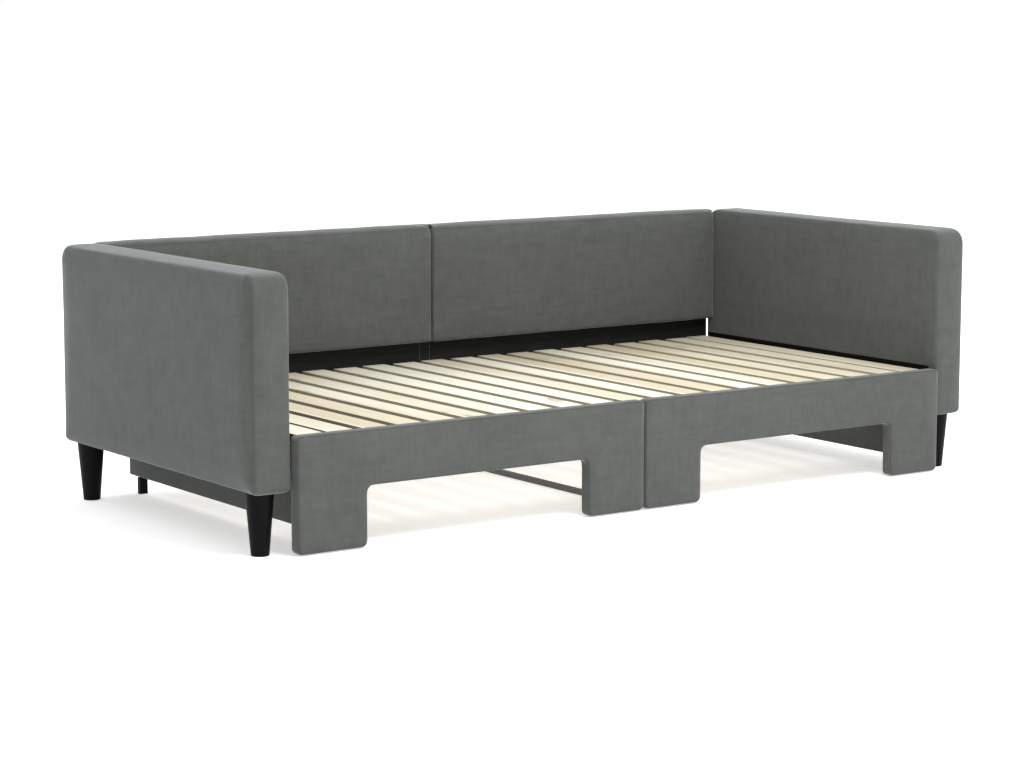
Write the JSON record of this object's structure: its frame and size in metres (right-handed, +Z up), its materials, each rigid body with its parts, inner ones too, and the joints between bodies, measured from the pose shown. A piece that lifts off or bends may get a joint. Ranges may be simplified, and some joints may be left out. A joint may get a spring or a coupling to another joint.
{
  "type": "trundle bed",
  "caption": "Upholstered daybed with padded arms and back, tapered legs and a slatted pull-out frame that slides forward between the arms to widen the bed.",
  "frame": {"origin": "on the floor, under the middle of the closed bed's bounding box", "axes": "+Z up, +X along the length of the bed, -Y towards the front, the side the pull-out frame comes out of"},
  "size_m": [2.222, 1.062, 0.655],
  "materials": {
    "upholstery": "dark grey woven fabric over foam",
    "pine": "planed pale pine, unvarnished",
    "frame_wood": "planed softwood, unvarnished",
    "black_board": "board with a matt black face",
    "black_plastic": "matt black moulding",
    "black_steel": "satin black powder coat",
    "zinc_steel": "zinc plated",
    "grey_plastic": "plain moulding"
  },
  "bodies": {
    "daybed": {"arm_pad_left": "upholstery", "arm_pad_right": "upholstery", "arm_frame_left": "frame_wood", "arm_frame_right": "frame_wood", "back_pad_left": "upholstery", "back_pad_right": "upholstery", "back_board_left": "black_board", "back_board_right": "black_board", "back_bracket_left": "black_steel", "back_bracket_right": "black_steel", "centre_post": "black_board", "leg_front_left": "black_plastic", "leg_front_right": "black_plastic", "leg_rear_left": "black_plastic", "leg_rear_right": "black_plastic", "leg_bolts": "zinc_steel", "back_bracket_bolts": "zinc_steel", "side_rail_screws": "zinc_steel", "side_rail_left": "black_steel", "side_rail_right": "black_steel", "rear_rail": "frame_wood", "front_crossbar": "frame_wood", "crossbar_leg": "frame_wood", "fixed_slat_01": "pine", "fixed_slat_02": "pine", "fixed_slat_03": "pine", "fixed_slat_04": "pine", "fixed_slat_05": "pine", "fixed_slat_06": "pine", "fixed_slat_07": "pine", "fixed_slat_08": "pine", "fixed_slat_09": "pine", "fixed_slat_10": "pine", "fixed_slat_11": "pine", "fixed_slat_screws": "zinc_steel"},
    "pull_out": {"front_panel_left": "upholstery", "front_panel_right": "upholstery", "front_panel_core_left": "frame_wood", "front_panel_core_right": "frame_wood", "side_panel_left": "upholstery", "side_panel_right": "upholstery", "rear_foot_left": "black_plastic", "rear_foot_right": "black_plastic", "centre_runner": "black_steel", "runner_post": "black_steel", "panel_joint_plate": "black_steel", "front_batten": "frame_wood", "moving_crossbar": "frame_wood", "slat_spacers": "grey_plastic", "pullout_screws": "zinc_steel", "moving_slat_01": "pine", "moving_slat_02": "pine", "moving_slat_03": "pine", "moving_slat_04": "pine", "moving_slat_05": "pine", "moving_slat_06": "pine", "moving_slat_07": "pine", "moving_slat_08": "pine", "moving_slat_09": "pine", "moving_slat_10": "pine"}
  },
  "joints": [
    {"name": "pull_out_slide", "type": "slide", "parent": "daybed", "child": "pull_out", "axis": [0, -1, 0], "range_m": [0, 0.82]}
  ]
}
